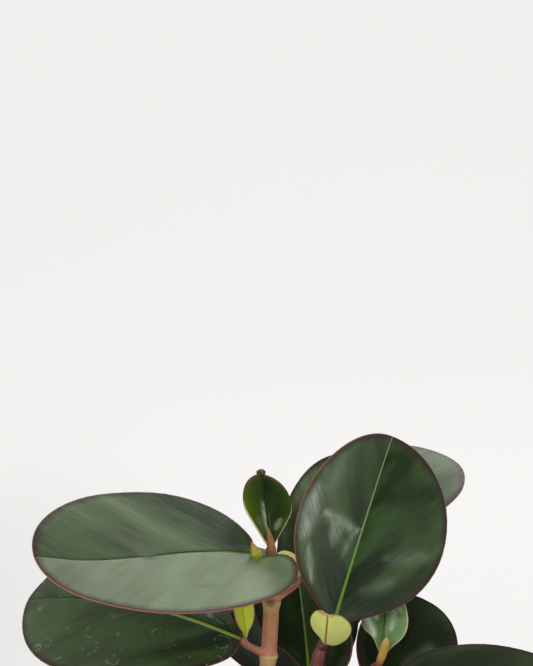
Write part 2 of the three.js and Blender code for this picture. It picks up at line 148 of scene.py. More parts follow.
def mixed(tree, share, under, over):
    """The colour over laid on the colour under; each is a socket or a colour."""
    return add(tree, "ShaderNodeMix", {0: share, 6: under, 7: over}, data_type="RGBA").outputs[2]


def maths(tree, operation, *values):
    return add(tree, "ShaderNodeMath", dict(enumerate(values)), operation=operation).outputs[0]


def noise_on(tree, vector, stretch, detail=3, roughness=0.55):
    """Noise on a vector that is stretched first; large numbers make fine noise."""
    mapping = add(tree, "ShaderNodeMapping", {"Vector": vector, "Scale": stretch})
    texture = add(tree, "ShaderNodeTexNoise", {"Vector": mapping.outputs[0], "Scale": 1,
                                               "Detail": detail, "Roughness": roughness})
    return texture.outputs["Fac"]


def places(tree):
    return add(tree, "ShaderNodeTexCoord").outputs["Object"]


def bumped(tree, shader, height, strength, distance):
    bump = add(tree, "ShaderNodeBump", {"Height": height, "Strength": strength, "Distance": distance})
    tree.links.new(bump.outputs[0], shader.inputs["Normal"])


# %% [markdown]
# A pale sweep is a floor that curves up into a wall, so that no edge shows behind the plant. It
# is a line that is spun through a quarter turn and then extruded sideways, and it glows a little,
# as a lit backdrop does, so that it stays even. Its glow is also painted a little brighter towards
# the top, and a soft painted shadow darkens it low on the left. The large lamp above and behind the
# plant is what the tops of the leaves mirror as a grey sheen, and more of that sheen is painted
# into the leaves' colour. The two small ones in front draw the gloss on the young leaves, and the
# low one on the right the gloss on the large upright leaf; painted glints add to both.

# %% The stage
SWEEP_WIDTH = 6
SWEEP_FRONT = -3
SWEEP_BACK = 1.2
SWEEP_BEND = 0.8
SWEEP_TOP = 3.5
BACKDROP_GLOW = 0.765
GLOW_AT_TOP = 0.035
SHADE_AT_LEFT = 0.13


def make_sweep():
    material, tree, shader = new_material("backdrop")
    shader.inputs["Base Color"].default_value = srgb(96, 95, 94)
    shader.inputs["Roughness"].default_value = 0.9
    shader.inputs["Emission Color"].default_value = srgb(255, 254, 252)
    place = add(tree, "ShaderNodeSeparateXYZ", {0: places(tree)}).outputs
    # Painted shadow: the glow is darkened low on the left. Painted light: it is raised towards the top.
    shade = maths(tree, "MULTIPLY", spread(tree, place["X"], -0.04, -0.26),
                  spread(tree, place["Y"], 1.5, 0.4))
    high = spread(tree, place["Z"], 0.4, 1.6, BACKDROP_GLOW, BACKDROP_GLOW + GLOW_AT_TOP)
    glow = maths(tree, "MULTIPLY_ADD", shade, -SHADE_AT_LEFT, high)
    tree.links.new(glow, shader.inputs["Emission Strength"])
    bm = bmesh.new()
    side = -SWEEP_WIDTH / 2
    front = bm.verts.new((side, SWEEP_FRONT, 0))
    back = bm.verts.new((side, SWEEP_BACK, 0))
    bm.edges.new((front, back))
    bent = bmesh.ops.spin(bm, geom=[back], axis=(1, 0, 0), cent=(side, SWEEP_BACK, SWEEP_BEND),
                          angle=math.pi / 2, steps=16)
    foot_of_wall = bent["geom_last"][0]
    top = bm.verts.new((side, SWEEP_BACK + SWEEP_BEND, SWEEP_TOP))
    bm.edges.new((foot_of_wall, top))
    wide = bmesh.ops.extrude_edge_only(bm, edges=bm.edges[:])
    moved = [item for item in wide["geom"] if isinstance(item, bmesh.types.BMVert)]
    bmesh.ops.translate(bm, verts=moved, vec=(SWEEP_WIDTH, 0, 0))
    sweep = finished_object(bm, "sweep", material)


def add_lamp(name, place, aim, size, watts, colour=(1, 1, 1)):
    data = bpy.data.lights.new(name, "AREA")
    data.shape = "SQUARE"
    data.size = size
    data.energy = watts
    data.color = colour
    lamp = bpy.data.objects.new(name, data)
    lamp.location = place
    lamp.rotation_euler = (Vector(aim) - Vector(place)).to_track_quat("-Z", "Y").to_euler()
    bpy.context.scene.collection.objects.link(lamp)


PLANT_MIDDLE = (0, 0, 0.18)
make_sweep()
add_lamp("lamp_behind", (0.35, 1.15, 1.55), PLANT_MIDDLE, 1.1, 12.5)
add_lamp("lamp_front", (-0.1, -1.22, 1.3), PLANT_MIDDLE, 0.7, 8)
add_lamp("lamp_fill", (-0.7, -1.22, 0.69), PLANT_MIDDLE, 0.6, 4.5)
add_lamp("lamp_low", (0.75, -0.25, 0.13), PLANT_MIDDLE, 0.2, 0.5)
world = bpy.data.worlds.new("studio")
bpy.context.scene.world = world
world.use_nodes = True
world.node_tree.nodes["Background"].inputs["Color"].default_value = (1, 0.995, 0.985, 1)
world.node_tree.nodes["Background"].inputs["Strength"].default_value = 0.42
print("stage and lamps are up")

# %% [markdown]
# A leaf of this plant is thick and waxy. Its top is dark green with a grey bloom in soft bands
# that follow the side veins, and much of that grey is painted sheen: light that the leaf would
# mirror, laid into its colour, stronger on one half of a leaf or near its rim. A purple band runs
# inside the margin. The very rim is a thin red line. The midrib is lime green at the foot, then a
# pale line or only a dark crease. All of this depends on where a point lies on the blade, so the
# mesh carries that as attributes: its distance from the rim and from the midrib in millimetres,
# its share of the way to the tip, whether it is on the underside, how much bloom and painted sheen
# and how light a midrib it has, and whether it lies in a glint, which is a stroke of painted
# sheen, or in a mark, which is a stroke of painted shade (one mark is a real scar).

# %% The finish of leaves
@dataclass
class Skin:
    deep: tuple
    light: tuple
    # The bloom colour is grey bloom and painted sheen; the glint colour is a painted highlight.
    bloom_and_sheen: tuple
    glint: tuple
    margins: tuple
    margin_width: float
    rims: tuple
    crease: tuple
    rib: tuple
    rib_far: tuple
    under: tuple
    under_rib: tuple
    roughness: float
    gloss: float
    coat: float
    soft: float = 0
    dried: float = 0


def leaf_finish(name, skin, specks=False, scarred=False):
    material, tree, shader = new_material(name)
    rim, rib = attribute(tree, "from_rim"), attribute(tree, "from_rib")
    tip, underside = attribute(tree, "to_tip"), attribute(tree, "underside")
    grain, bloom_and_sheen = attribute(tree, "grain", "Vector"), attribute(tree, "bloom_and_sheen")
    clouds = noise_on(tree, grain, (0.05, 0.045, 1), detail=2)
    veils = noise_on(tree, grain, (0.06, 0.026, 1), detail=3)
    brushed = noise_on(tree, grain, (0.34, 0.08, 1), detail=4)

    colour = mixed(tree, spread(tree, clouds, 0.38, 0.62), skin.deep, skin.light)
    # Grey bloom and painted sheen, in soft veils along the side veins.
    bloom_and_sheen_share = maths(tree, "MULTIPLY", bloom_and_sheen, spread(tree, veils, 0.3, 0.7, 0.7, 1.2))
    bloom_and_sheen_share = maths(tree, "MULTIPLY", bloom_and_sheen_share, spread(tree, brushed, 0.2, 0.8, 0.86, 1.14))
    colour = mixed(tree, bloom_and_sheen_share, colour, skin.bloom_and_sheen)
    band = maths(tree, "ADD", rim, maths(tree, "MULTIPLY_ADD", veils, 3, -1.5))
    # Where the bloom and painted sheen are strong, the margin and the rim take their paler colours.
    margin = mixed(tree, bloom_and_sheen, *skin.margins)
    colour = mixed(tree, spread(tree, band, skin.margin_width, 0.4, 0, 0.9), colour, margin)
    stroke = maths(tree, "MULTIPLY", attribute(tree, "glint"),
                   spread(tree, brushed, 0.3, 0.62, 0.35, 1))
    colour = mixed(tree, stroke, colour, skin.glint)
    line = maths(tree, "DIVIDE", rib, maths(tree, "MULTIPLY_ADD", tip, -0.7, 0.95))
    pale = mixed(tree, spread(tree, tip, 0.2, 0.6), skin.rib, skin.rib_far)
    line_colour = mixed(tree, attribute(tree, "lit_rib"), skin.crease, pale)
    colour = mixed(tree, spread(tree, line, 1.1, 0.4), colour, line_colour)
    # Painted shade: marks draw the colour back to the deep green where the blade lies in shade; one
    # small mark is a real scar.
    colour = mixed(tree, maths(tree, "MULTIPLY", attribute(tree, "mark"), 0.8), colour, skin.deep)
    edge = spread(tree, rim, 0.45, 0.2)
    rim_colour = mixed(tree, bloom_and_sheen, *skin.rims)
    if skin.dried:
        rim_colour = mixed(tree, spread(tree, tip, 0.62, 0.42), *skin.rims)
        brittle = maths(tree, "MULTIPLY", spread(tree, tip, 0.66, 0.84, 0, skin.dried),
                        spread(tree, band, 1.5, 0.4))
        colour = mixed(tree, brittle, colour, skin.rims[0])
    colour = mixed(tree, edge, colour, rim_colour)
    below = mixed(tree, spread(tree, rib, 0.45, 0.25), skin.under, skin.under_rib)
    below = mixed(tree, edge, below, rim_colour)
    colour = mixed(tree, spread(tree, underside, 0.55, 0.8), colour, below)
    if specks:
        colour = with_specks(tree, colour)
    if scarred:
        torn = maths(tree, "ADD", tip, maths(tree, "MULTIPLY_ADD", brushed, 0.3, -0.15))
        colour = mixed(tree, spread(tree, torn, 0.84, 0.97, 0, 0.85), colour, srgb(166, 128, 84))
    tree.links.new(colour, shader.inputs["Base Color"])

    rough = spread(tree, brushed, 0.3, 0.7, skin.roughness - 0.05, skin.roughness + 0.06)
    tree.links.new(rough, shader.inputs["Roughness"])
    shader.inputs["Specular IOR Level"].default_value = skin.gloss
    shader.inputs["Coat Weight"].default_value = skin.coat
    shader.inputs["Coat Roughness"].default_value = 0.16
    shader.inputs["Subsurface Weight"].default_value = skin.soft
    shader.inputs["Subsurface Radius"].default_value = (1, 1, 0.25)
    shader.inputs["Subsurface Scale"].default_value = 0.004
    fine = noise_on(tree, places(tree), (1500, 1500, 1500), detail=2)
    height = maths(tree, "MULTIPLY_ADD", veils, 5, maths(tree, "MULTIPLY_ADD", brushed, 2, fine))
    bumped(tree, shader, height, 0.2, 0.0003)
    return material


def with_specks(tree, colour):
    """Small white marks and broken rings that hard water leaves on an old leaf."""
    spot = attribute(tree, "spot", "Vector")
    dots = add(tree, "ShaderNodeTexVoronoi", {"Vector": spot, "Scale": 0.26})
    chance = add(tree, "ShaderNodeSeparateColor", {0: dots.outputs["Color"]}).outputs[0]
    dot = maths(tree, "MULTIPLY", spread(tree, dots.outputs["Distance"], 0.12, 0.05),
                spread(tree, chance, 0.68, 0.74))
    rings = add(tree, "ShaderNodeTexVoronoi", {"Vector": spot, "Scale": 0.085})
    chance = add(tree, "ShaderNodeSeparateColor", {0: rings.outputs["Color"]}).outputs[0]
    radius = maths(tree, "MULTIPLY_ADD", noise_on(tree, spot, (0.2, 0.2, 1)), 0.3, 0.15)
    off = maths(tree, "ABSOLUTE", maths(tree, "SUBTRACT", rings.outputs["Distance"], radius))
    broken = spread(tree, noise_on(tree, spot, (0.35, 0.35, 1)), 0.46, 0.58)
    ring = maths(tree, "MULTIPLY", spread(tree, off, 0.035, 0.008), broken)
    ring = maths(tree, "MULTIPLY", ring, spread(tree, chance, 0.3, 0.4, 0, 0.7))
    shade_and_scar_marks = maths(tree, "MULTIPLY", maths(tree, "MAXIMUM", dot, ring), 0.5)
    return mixed(tree, shade_and_scar_marks, colour, srgb(150, 160, 140))


GROWN = Skin(deep=srgb(21, 37, 12), light=srgb(45, 70, 32), bloom_and_sheen=srgb(117, 133, 98),
             glint=srgb(150, 160, 144),
             margins=(srgb(42, 34, 30), srgb(58, 36, 38)), margin_width=4.2,
             rims=(srgb(98, 68, 54), srgb(146, 96, 88)), crease=srgb(34, 50, 22),
             rib=srgb(106, 140, 36), rib_far=srgb(122, 142, 100), under=srgb(112, 124, 74),
             under_rib=srgb(150, 156, 90), roughness=0.36, gloss=0.15, coat=0)
YOUNG = Skin(deep=srgb(8, 26, 1), light=srgb(28, 52, 3), bloom_and_sheen=srgb(80, 106, 6),
             glint=srgb(196, 206, 180),
             margins=(srgb(50, 58, 16), srgb(70, 84, 20)), margin_width=1.0,
             rims=(srgb(104, 64, 40), srgb(216, 192, 150)), crease=srgb(20, 42, 4),
             rib=srgb(96, 134, 40), rib_far=srgb(64, 98, 24), under=srgb(126, 158, 56),
             under_rib=srgb(150, 164, 84), roughness=0.24, gloss=0.18, coat=0.05, dried=0.85)
FRESH = replace(YOUNG, deep=srgb(24, 54, 10), light=srgb(60, 102, 28), bloom_and_sheen=srgb(112, 150, 84),
                glint=srgb(214, 226, 204), crease=srgb(40, 76, 22), dried=0,
                margins=(srgb(60, 92, 34), srgb(116, 146, 84)),
                rims=(srgb(150, 124, 84), srgb(206, 184, 144)))
SPOTTED = replace(GROWN, rib=srgb(146, 176, 48))
# A matt copy of the grown leaf whose greens are painted darker, as painted shade for leaves that lie in
# shade.
MATT_SHADED = replace(GROWN, deep=srgb(18, 28, 12), light=srgb(34, 48, 26), gloss=0.03, roughness=0.5)
LIME = Skin(deep=srgb(212, 240, 50), light=srgb(232, 250, 84), bloom_and_sheen=srgb(224, 236, 140),
            glint=srgb(230, 236, 180),
            margins=(srgb(206, 212, 90), srgb(216, 214, 120)), margin_width=0.8,
            rims=(srgb(170, 142, 88), srgb(214, 200, 146)), crease=srgb(176, 194, 56),
            rib=srgb(196, 208, 90), rib_far=srgb(200, 214, 96), under=srgb(226, 236, 138),
            under_rib=srgb(206, 216, 108), roughness=0.32, gloss=0.35, coat=0.15, soft=0.8)
SCARRED = replace(LIME, under_rib=srgb(158, 116, 66))
grown_finish = leaf_finish("grown_leaf", GROWN)
spotted_finish = leaf_finish("grown_leaf_spotted", SPOTTED, specks=True)
matt_shaded_finish = leaf_finish("matt_shaded_leaf", MATT_SHADED)
young_finish = leaf_finish("young_leaf", YOUNG)
fresh_finish = leaf_finish("fresh_leaf", FRESH)
lime_finish = leaf_finish("lime_leaf", LIME)
scarred_finish = leaf_finish("lime_leaf_scarred", SCARRED, scarred=True)
print("leaf finishes:", len(bpy.data.materials) - 1)

# %% [markdown]
# The leaves. Each is a curved oval blade that meets its stalk at its foot. A leaf is told by a few
# numbers: where its foot is (or how far its stalk reaches out and up from its joint), where it
# points, how it is bent, folded and twisted, and how its two round corners reach back past the
# foot. These are the numbers that the solids were made from, in millimetres and degrees. For twelve
# leaves seen in the photo, most of them came from a small solver that fitted outlines to points read
# from it, and were then rounded or changed by hand. Three fine ones are only here: a midrib's sway,
# a tip's dip, and 2 mm more of foot corner on the lower left leaf. The rest is the finish. Bloom and
# painted sheen are told for the left and the right half. A band of painted sheen is its middle,
# width and strength, and a glint, which is painted sheen, or a mark, which is painted shade and once
# a real scar, is a stroke between two places on the blade, with its width and strength.

# %% The list of leaves
@dataclass
class Leaf:
    name: str
    stem: str
    joint: int
    foot: tuple
    heading: float
    pitch: float
    roll: float
    length: float
    width: float
    bend: float
    fold: float
    lobes: tuple = (4, 4)
    twist: float = 0
    taper: float = 0
    full: float = 1
    notch: float = 0.27
    curl: float = 0
    blunt: float = 0
    uneven: float = 0
    skew: float = 0
    sway: float = 0
    # Bloom and painted sheen for the left and the right half, at the foot and along the midrib, with
    # bands of painted sheen; glints are painted highlights and marks painted shade, one of them a real
    # scar.
    bloom_and_sheen: tuple = (0.05, 0.05)
    foot_bloom_and_sheen: tuple = (0, 0)
    rib_bloom_and_sheen: float = 1
    sheen_bands: tuple = ()
    glints: tuple = ()
    rib: float = 0.4
    dip: float = 0
    shade_and_scar_marks: tuple = ()


UPPER = [
    Leaf("leaf_front_1", "front", 3, (-14.2, -17.2, 212.6), 204.5, 5, -27, 91.5, 69.5, -2.3, 6,
         (16.6, 3), -3, 0.1, 0.91, 0.17, 110, blunt=0.025, sway=-2.2,
         bloom_and_sheen=(0.74, 0.22), foot_bloom_and_sheen=(1, 0), sheen_bands=((21, 8, 0.3), (41, 7, 0.2)), rib=0.05,
         shade_and_scar_marks=(((22, 20.5), (29, 20), 1.1, 0.5), ((6, -3), (14, -20), 7.5, 1),
                ((52, -6), (66, -12), 6, 0.4), ((80, 8), (82, 22), 14, 0.45),
                ((-6, 6), (0, 22), 7, 0.5))),
    Leaf("leaf_front_2", "front", 2, (-19.9, -18, 178.7), 169.6, 21.5, -30.4, 97, 73, 40.7, -3,
         (3.4, -6), -6, -0.14, 1.15, bloom_and_sheen=(0.24, 0.18), foot_bloom_and_sheen=(0.05, 0), rib=0.25,
         glints=(((15, -5), (20, -8), 1.6, 0.75), ((14, -7), (24, -12), 3.5, 0.3)),
         shade_and_scar_marks=(((-2, -4), (8, -22), 7, 1),)),
    Leaf("leaf_middle_1", "middle", 3, (17.3, -9.1, 183.6), 53.4, 61.6, 51.7, 78.4, 69.4, -10, 19.5,
         (-3.4, -3.3), 9.4, notch=0.32, bloom_and_sheen=(0.26, 0.11), foot_bloom_and_sheen=(0.14, 0), rib_bloom_and_sheen=0.05,
         rib=1,
         glints=(((12, 17), (25, 25), 1.3, 1), ((37, 3), (39, 22), 2.2, 0.85),
                 ((30, 12), (36, 15), 2.4, 0.8), ((48, 24), (64, 22), 3.5, 0.25),
                 ((26, 6), (38, 4), 1.6, 0.5), ((28, 28), (46, 30), 3.8, 1),
                 ((14, -8), (22, -18), 2.5, 0.22), ((30, -14), (36, -28), 3, 0.22)),
         shade_and_scar_marks=(((8, -6), (12, -18), 6, 1), ((54, -8), (62, -22), 7, 0.9),
                ((46, 6), (60, 10), 5, 0.4))),
    Leaf("leaf_middle_2", "middle", 1, (16.6, -7, 157.5), 60, 60, 4, 22, 11.5, 6, 8, (-3, -3), rib=0),
    Leaf("leaf_inner_1", "inner", 2, (14, 42.5, 160), 69, 71, -22, 81, 61, 4, 5, (3, 3), 0, -0.04, 0.9,
         bloom_and_sheen=(0.55, 0.05), shade_and_scar_marks=(((14, 18), (50, 22), 13, 1),)),
    Leaf("leaf_inner_2", "inner", 1, (7.6, 14, 154), 99, 60, 11, 53, 48, 10, 14, (-7, 3), rib=0.8,
         bloom_and_sheen=(0.05, 0.3)),
    Leaf("leaf_back_right_1", "back_right", 3, (44.3, 52.6, 195), 81.5, 35.7, -13, 76.7, 57.2, 19.3,
         4.3, (3, -10), 17, -0.17, 1.2, bloom_and_sheen=(0.3, 0.3), foot_bloom_and_sheen=(0.26, 0.26)),
    Leaf("leaf_right_1", "right", 1, (38.5, 3, 149.5), 62, 32, 31, 54, 43, 6, 5, (2, 3),
         bloom_and_sheen=(0.03, 0.06), rib=0, glints=(((8, -5), (30, -9), 4, 0.22),)),
    Leaf("leaf_right_2", "right", 2, (42.8, -3, 158.3), 338, -3, 20, 90, 60, 12, 6, (1, 4),
         bloom_and_sheen=(0.1, 0.1), rib=0.1),
    Leaf("leaf_back_left_1", "back_left", 2, (-46, 34, 176), 138, 24, -8, 82, 58, 22, 8, (3, 3)),
    Leaf("leaf_back_left_2", "back_left", 2, (-36, 35, 171), 88, 14, -4, 84, 58, 16, 8, (3, 3)),
]
MIDDLE = [
    Leaf("leaf_front_3", "front", 1, (14, 3), 256, 0, 4, 94, 63, 26, 7),
    Leaf("leaf_front_4", "front", 1, (15, 9), 204, 6, -8, 92, 62, 24, 6),
    Leaf("leaf_middle_3", "middle", 1, (15, 4), 302, 3, 6, 95, 64, 26, 7),
    Leaf("leaf_right_3", "right", 1, (14, 3), 8, 4, -6, 88, 60, 26, 7),
    Leaf("leaf_back_right_2", "back_right", 1, (14, -3), 34, -4, 4, 84, 58, 26, 7),
    Leaf("leaf_back_right_3", "back_right", 1, (14, 4), 62, 1, 6, 80, 52, 28, 7),
    Leaf("leaf_inner_3", "inner", 1, (15, 1), 134, 38, 14, 63, 60, 24, 7, rib=0),
    Leaf("leaf_back_left_3", "back_left", 1, (14, 4), 178, 4, 6, 88, 60, 26, 7),
]
LOW = [("right", 333, 84, 56), ("right", 31, 81, 54), ("back_right", 72, 78, 56), ("inner", 110, 84, 54),
       ("back_left", 144, 81, 56), ("back_left", 203, 78, 54), ("front", 236, 84, 56),
       ("middle", 284, 81, 54)]
YOUNG_LEAVES = [
    Leaf("young_front_1", "front", 3, (-8.2, -11.4, 214.2), 101.3, 53.4, 14.9, 32.2, 21.8, 0, 14,
         (-7, -7), 0, -0.18, 1.25, 0.8, bloom_and_sheen=(0.45, 0.05), foot_bloom_and_sheen=(0.3, 0.1), rib_bloom_and_sheen=0.3,
         rib=0, glints=(((5, 0.5), (19, 1.5), 1.2, 0.6), ((8, -3), (12, -5.5), 1, 0.45),
                        ((6, 3), (12, 4.5), 1.5, 0.15))),
    Leaf("young_front_2", "front", 2, (-17.9, -12, 176.6), 118, 72, 0, 24, 9.8, -6, 24, (-3, -3),
         full=1.15),
    Leaf("young_front_3", "front", 3, (4, -9, 202), 168, 42, -10, 13, 12, 0, 20, (-2, -2),
         bloom_and_sheen=(1, 1), foot_bloom_and_sheen=(1, 1)),
    Leaf("young_middle_1", "middle", 3, (13.4, -20.5, 177.9), 273, 54.5, -10, 17, 17.2, -18, 17.4,
         (2, -1.9), 0, -0.04, uneven=0.18, skew=-0.22, dip=1.3),
    Leaf("young_right_1", "right", 3, (36.9, -3.8, 167.5), 77.6, 62.4, 7.6, 26.8, 19.4, 0, 10,
         (-6.9, -3.4), notch=0.33, bloom_and_sheen=(0.4, 0.8), foot_bloom_and_sheen=(0.3, 0.4), rib=0,
         glints=(((8, 4), (17, 8.5), 1.7, 1), ((15, 3.5), (20, 6), 1.5, 0.8),
                 ((11, -3), (20, -4), 1.5, 0.55), ((18, -7), (22, -4), 1.6, 0.6))),
    Leaf("young_inner_1", "inner", 2, (6, 43, 170), 160, 52, 0, 24, 16, 6, 14, (-3, -3)),
    Leaf("young_back_right_1", "back_right", 3, (48, 46, 187), 305, 54, 0, 26, 17, 6, 14, (-3, -3)),
    Leaf("young_back_left_1", "back_left", 2, (-37, 31, 180), 20, 64, 0, 28, 18, 6, 14, (-4, -4)),
    Leaf("young_back_left_2", "back_left", 2, (-47, 27, 178), 215, 50, 0, 24, 16, 8, 14, (-3, -3)),
]
LOW_LEAVES = [Leaf(f"leaf_low_{place + 1}", stem, 0, (15, 3), heading, 8, 5, length, width, 40, 7)
              for place, (stem, heading, length, width) in enumerate(LOW)]
GROWN_LEAVES = UPPER + MIDDLE + LOW_LEAVES
print("leaves:", len(GROWN_LEAVES), "grown and", len(YOUNG_LEAVES), "young")

# %% [markdown]
# The stems, with their leaf joints from the lowest to the highest, and the thinner shoot above
# the last joint. They come before the blades, because a leaf's foot may be told from its joint.

# %% The list of stems
@dataclass
class Stem:
    radius: float
    joints: list
    shoot: list
    buds: list


STEMS = {
    "front": Stem(3.2, [(-13, -14, 122), (-11.5, -13, 146), (-9, -12, 170), (-7.8, -12, 192)],
                  [(-7.4, -12, 202), (-7.6, -12, 210)],
                  [((-8, -13.6, 206), (-9.8, -16.6, 225.2), 1.9),
                   ((-12.8, -19.2, 211.2), (-16, -20.4, 219.2), 2.4)]),
    "middle": Stem(2.7, [(8, -19, 120), (8.4, -17, 142), (9, -15.5, 160), (11.6, -15, 174)], [], []),
    "right": Stem(2.8, [(31, -9, 118), (32, -6, 138), (33.4, -4, 155), (34.8, -4, 164)], [],
                  [((34.6, -5.2, 162), (38.5, -8.2, 176.4), 2.1)]),
    "inner": Stem(3.1, [(3, 25, 120), (7, 31, 140), (10, 36, 156)], [(11, 38, 163)],
                  [((10.6, 37, 160), (12, 42, 180), 1.9)]),
    "back_right": Stem(3.1, [(31, 30, 120), (36, 40, 142), (41, 49, 163), (42.5, 51.5, 180)], [],
                       [((42.5, 51.5, 179), (38, 47, 197), 1.9)]),
    "back_left": Stem(3.2, [(-32, 18, 120), (-36, 22, 142), (-40, 27, 163)],
                      [(-41, 28, 172), (-41.5, 28.5, 177)], [((-41.5, 28.4, 174), (-43, 30, 195), 2)]),
}


def leaf_foot(leaf):
    """Where the blade begins, in millimetres."""
    if len(leaf.foot) == 3:
        return Vector(leaf.foot)
    reach, rise = leaf.foot
    angle = math.radians(leaf.heading)
    out = Vector((math.cos(angle) * reach, math.sin(angle) * reach, rise))
    return Vector(STEMS[leaf.stem].joints[leaf.joint]) + out


def leaf_turn(leaf):
    """The turn from the leaf's own frame (x to the tip, z out of its face) to the plant's."""
    heading = Quaternion((0, 0, 1), math.radians(leaf.heading))
    pitch = Quaternion((0, 1, 0), math.radians(-leaf.pitch))
    roll = Quaternion((1, 0, 0), math.radians(leaf.roll))
    return heading @ pitch @ roll


print("stems:", ", ".join(STEMS))

# %% [markdown]
# A blade could be cut from a grid, but its outline is round, so it is spun instead: a thin lens
# section, rounded at its rim, goes once round the middle of the leaf. The spokes are then drawn
# together near the midrib, where the blade has its fine groove, and every point is carried onto
# the leaf's bent and folded surface. The lens stays closed, so the leaf has a real thickness.

# %% The blade's surface
FOLD_SOFTNESS = 0.03
CURL_REACH = 9
SWAY_REACH = 16
RIPPLE_SIZE = 0.5
RIPPLE_REACH = 26
USUAL_LENGTH = 90
USUAL_WIDTH = 60
DIP_WIDTH = 0.35


def rim_point(leaf, angle):
    """How far along the midrib and to the left the rim lies, at an angle round the middle."""
    half = leaf.length / 2
    side, to_tip = math.sin(angle), math.cos(angle)
    fullness = math.copysign(abs(side) ** leaf.full, side)
    across = leaf.width / 2 * fullness * (1 - leaf.taper * to_tip)
    across *= 1 + math.copysign(leaf.uneven, side)
    if to_tip >= 0:
        dip = leaf.dip * math.exp(-(side / DIP_WIDTH) ** 2)
        reach = (half - dip) * (to_tip + leaf.blunt * math.sin(math.pi * to_tip))
        return half + reach + leaf.skew * across, across
    lobe = leaf.lobes[0] if side > 0 else leaf.lobes[1]
    notch = math.exp(-(((angle % math.tau) - math.pi) / leaf.notch) ** 2)
    return half + (half + lobe * (1 - notch)) * to_tip + leaf.skew * across, across


def surface_point(leaf, along, across):
    """The middle surface in the leaf's own frame, without its thickness."""
    share = along / leaf.length
    turn = math.radians(leaf.bend) / leaf.length
    lean = turn * along
    midrib_x = math.sin(lean) / turn if turn else along
    midrib_z = (math.cos(lean) - 1) / turn if turn else 0
    fold = math.radians(leaf.fold)
    twist = math.radians(leaf.twist * share)
    side = across * math.cos(fold)
    soft = FOLD_SOFTNESS * leaf.width
    lift = (math.hypot(across, soft) - soft) * math.sin(fold)
    lift += leaf.curl * max(-share, 0) * math.exp(-(across / CURL_REACH) ** 2)
    left = side * math.cos(twist) - lift * math.sin(twist)
    swing = math.sin(math.tau * min(max(share, 0), 1))
    left += leaf.sway * swing * math.exp(-(across / SWAY_REACH) ** 2)
    up = side * math.sin(twist) + lift * math.cos(twist)
    return Vector((midrib_x + up * math.sin(lean), left, midrib_z + up * math.cos(lean)))


def face_direction(leaf, along, across):
    step = 0.5
    forward = surface_point(leaf, along + step, across) - surface_point(leaf, along - step, across)
    left = surface_point(leaf, along, across + step) - surface_point(leaf, along, across - step)
    return forward.cross(left).normalized()


def ripple(leaf, along, across, seed):
    """The gentle unevenness of a fleshy leaf."""
    spot = Vector((along / RIPPLE_REACH, across / RIPPLE_REACH, seed))
    return RIPPLE_SIZE * noise.noise(spot) * leaf.width / USUAL_WIDTH


# %% [markdown]
# The thickness of a blade falls from its middle to its rim. Along the midrib the top has a fine
# groove, and the underside a ridge that is thick at the foot and runs out towards the tip.

# %% Blades
SPOKES = 96
SPOKE_SQUEEZE = 0.42
RINGS = 16
RIM_STEPS = 6
RIM_SHARE = 0.02
THICKNESS = {"leaf": (1.7, 0.9), "young_leaf": (1.1, 0.7)}
GROOVE = (0.28, 0.7)
RIDGE = (1.2, 1.5)
RIB_FADE = 0.18
# How the bloom and painted sheen change from the foot, and the painted sheen near the rim.
BLOOM_AND_SHEEN_START = 0.45
RIM_SHEEN = 0.25
RIM_SHEEN_REACH = 2.5
VEIN_SLOPE = 1.1


def lens_disc():
    """A flat closed disc of radius 1 and thickness 1, with a rounded rim."""
    bm = bmesh.new()
    face = [(1 - RIM_SHARE) * math.sin(math.pi / 2 * ring / RINGS) for ring in range(RINGS + 1)]
    arc = [math.pi * step / RIM_STEPS for step in range(1, RIM_STEPS)]
    section = [(x, 0.5) for x in face]
    section += [(1 - RIM_SHARE + RIM_SHARE * math.sin(a), 0.5 * math.cos(a)) for a in arc]
    section += [(x, -0.5) for x in reversed(face)]
    corners, edges = line_of(bm, [(x, 0, z) for x, z in section])
    spun(bm, corners + edges, SPOKES, 1e-6)
    bmesh.ops.recalc_face_normals(bm, faces=bm.faces[:])
    return bm


def stroke(along, across, start, end, width, strength):
    """How strongly a soft painted stroke of sheen or shade, from start to end, shows on the blade."""
    spot, start, end = Vector((along, across)), Vector(start), Vector(end)
    run = end - start
    share = min(max((spot - start).dot(run) / run.length_squared, 0), 1)
    away = (spot - start - run * share).length
    return strength * math.exp(-(away / (width * (1.1 - abs(share - 0.5)))) ** 2)


